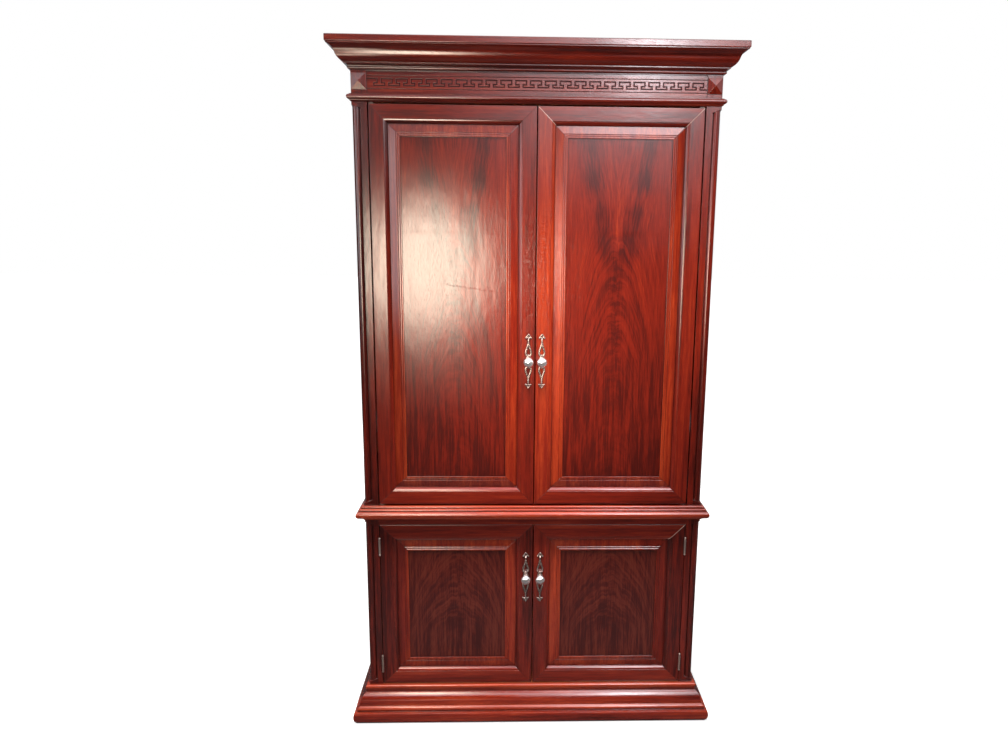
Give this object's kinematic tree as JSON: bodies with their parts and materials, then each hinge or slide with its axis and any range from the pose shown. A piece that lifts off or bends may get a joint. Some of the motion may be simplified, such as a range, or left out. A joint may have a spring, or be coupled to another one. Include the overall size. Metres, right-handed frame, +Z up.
{
  "type": "television armoire",
  "caption": "Tall two-part mahogany armoire: pocket doors over a television bay, a cupboard below, moulded cornice, Greek key frieze and pierced handles.",
  "frame": {"origin": "on the floor, under the middle of the whole piece, cornice included", "axes": "+X to the right seen from the front, +Y to the back, +Z up"},
  "size_m": [1.209, 0.6596, 2.1645],
  "materials": {
    "mahogany_upright": "satin lacquer over red-brown mahogany, upright grain",
    "mahogany_level": "satin lacquer over red-brown mahogany, level grain",
    "panel_moulding": "satin lacquer over red-brown mahogany",
    "crotch_veneer": "gloss lacquer over flame-figured mahogany veneer",
    "inside_wood": "thin satin lacquer",
    "back_board": "stained plywood, dull",
    "antique_pewter": "darkened pewter with bright edges",
    "bright_nickel": "polished nickel",
    "zinc_steel": "zinc-plated steel",
    "brown_plastic": "matt moulded plastic"
  },
  "bodies": {
    "case": {"plinth_frame": "inside_wood", "lower_bottom": "inside_wood", "lower_sides": "mahogany_upright", "base_moulding": "mahogany_level", "lower_back": "back_board", "lower_posts": "mahogany_upright", "lower_face_rail": "mahogany_level", "lower_top": "inside_wood", "shelf": "inside_wood", "shelf_pins": "zinc_steel", "waist_moulding": "mahogany_level", "magnet_catches": "brown_plastic", "lower_hinge_post_leaves": "antique_pewter", "case_screws": "zinc_steel", "upper_deck": "inside_wood", "upper_posts": "mahogany_upright", "upper_sides": "mahogany_upright", "upper_back": "back_board", "upper_top": "inside_wood", "neck_moulding": "mahogany_level", "frieze_board": "mahogany_level", "frieze_sides": "mahogany_level", "rosette_blocks": "mahogany_upright", "cornice_moulding": "mahogany_level", "cornice_cap": "mahogany_level", "door_slide_rails": "zinc_steel"},
    "left_carrier": {"left_carrier_strip": "inside_wood", "left_carrier_runners": "zinc_steel", "left_pivot_plates": "zinc_steel"},
    "right_carrier": {"right_carrier_strip": "inside_wood", "right_carrier_runners": "zinc_steel", "right_pivot_plates": "zinc_steel"},
    "upper_left_door": {"upper_left_stiles": "mahogany_upright", "upper_left_rails": "mahogany_level", "upper_left_moulding": "panel_moulding", "upper_left_panel": "crotch_veneer", "upper_left_handle_plate": "antique_pewter", "upper_left_knob": "bright_nickel", "upper_left_pivot_bushes": "zinc_steel"},
    "upper_right_door": {"upper_right_stiles": "mahogany_upright", "upper_right_rails": "mahogany_level", "upper_right_moulding": "panel_moulding", "upper_right_panel": "crotch_veneer", "upper_right_handle_plate": "antique_pewter", "upper_right_knob": "bright_nickel", "upper_right_pivot_bushes": "zinc_steel"},
    "lower_left_door": {"lower_left_stiles": "mahogany_upright", "lower_left_rails": "mahogany_level", "lower_left_moulding": "panel_moulding", "lower_left_panel": "crotch_veneer", "lower_left_handle_plate": "antique_pewter", "lower_left_knob": "bright_nickel", "lower_left_fittings": "antique_pewter"},
    "lower_right_door": {"lower_right_stiles": "mahogany_upright", "lower_right_rails": "mahogany_level", "lower_right_moulding": "panel_moulding", "lower_right_panel": "crotch_veneer", "lower_right_handle_plate": "antique_pewter", "lower_right_knob": "bright_nickel", "lower_right_fittings": "antique_pewter"}
  },
  "joints": [
    {"name": "left_pocket_slide", "type": "slide", "parent": "case", "child": "left_carrier", "axis": [0, 1, 0], "range_m": [0, 0.4]},
    {"name": "upper_left_swing", "type": "hinge", "parent": "left_carrier", "child": "upper_left_door", "pos_m": [-0.4885, -0.26325, 1.37225], "axis": [0, 0, -1], "range_deg": [0, 90]},
    {"name": "right_pocket_slide", "type": "slide", "parent": "case", "child": "right_carrier", "axis": [0, 1, 0], "range_m": [0, 0.4]},
    {"name": "upper_right_swing", "type": "hinge", "parent": "right_carrier", "child": "upper_right_door", "pos_m": [0.4885, -0.26325, 1.37225], "axis": [0, 0, 1], "range_deg": [0, 90]},
    {"name": "lower_left_swing", "type": "hinge", "parent": "case", "child": "lower_left_door", "pos_m": [-0.49925, -0.27365, 0.404], "axis": [0, 0, -1], "range_deg": [0, 170]},
    {"name": "lower_right_swing", "type": "hinge", "parent": "case", "child": "lower_right_door", "pos_m": [0.49925, -0.27365, 0.404], "axis": [0, 0, 1], "range_deg": [0, 170]}
  ]
}
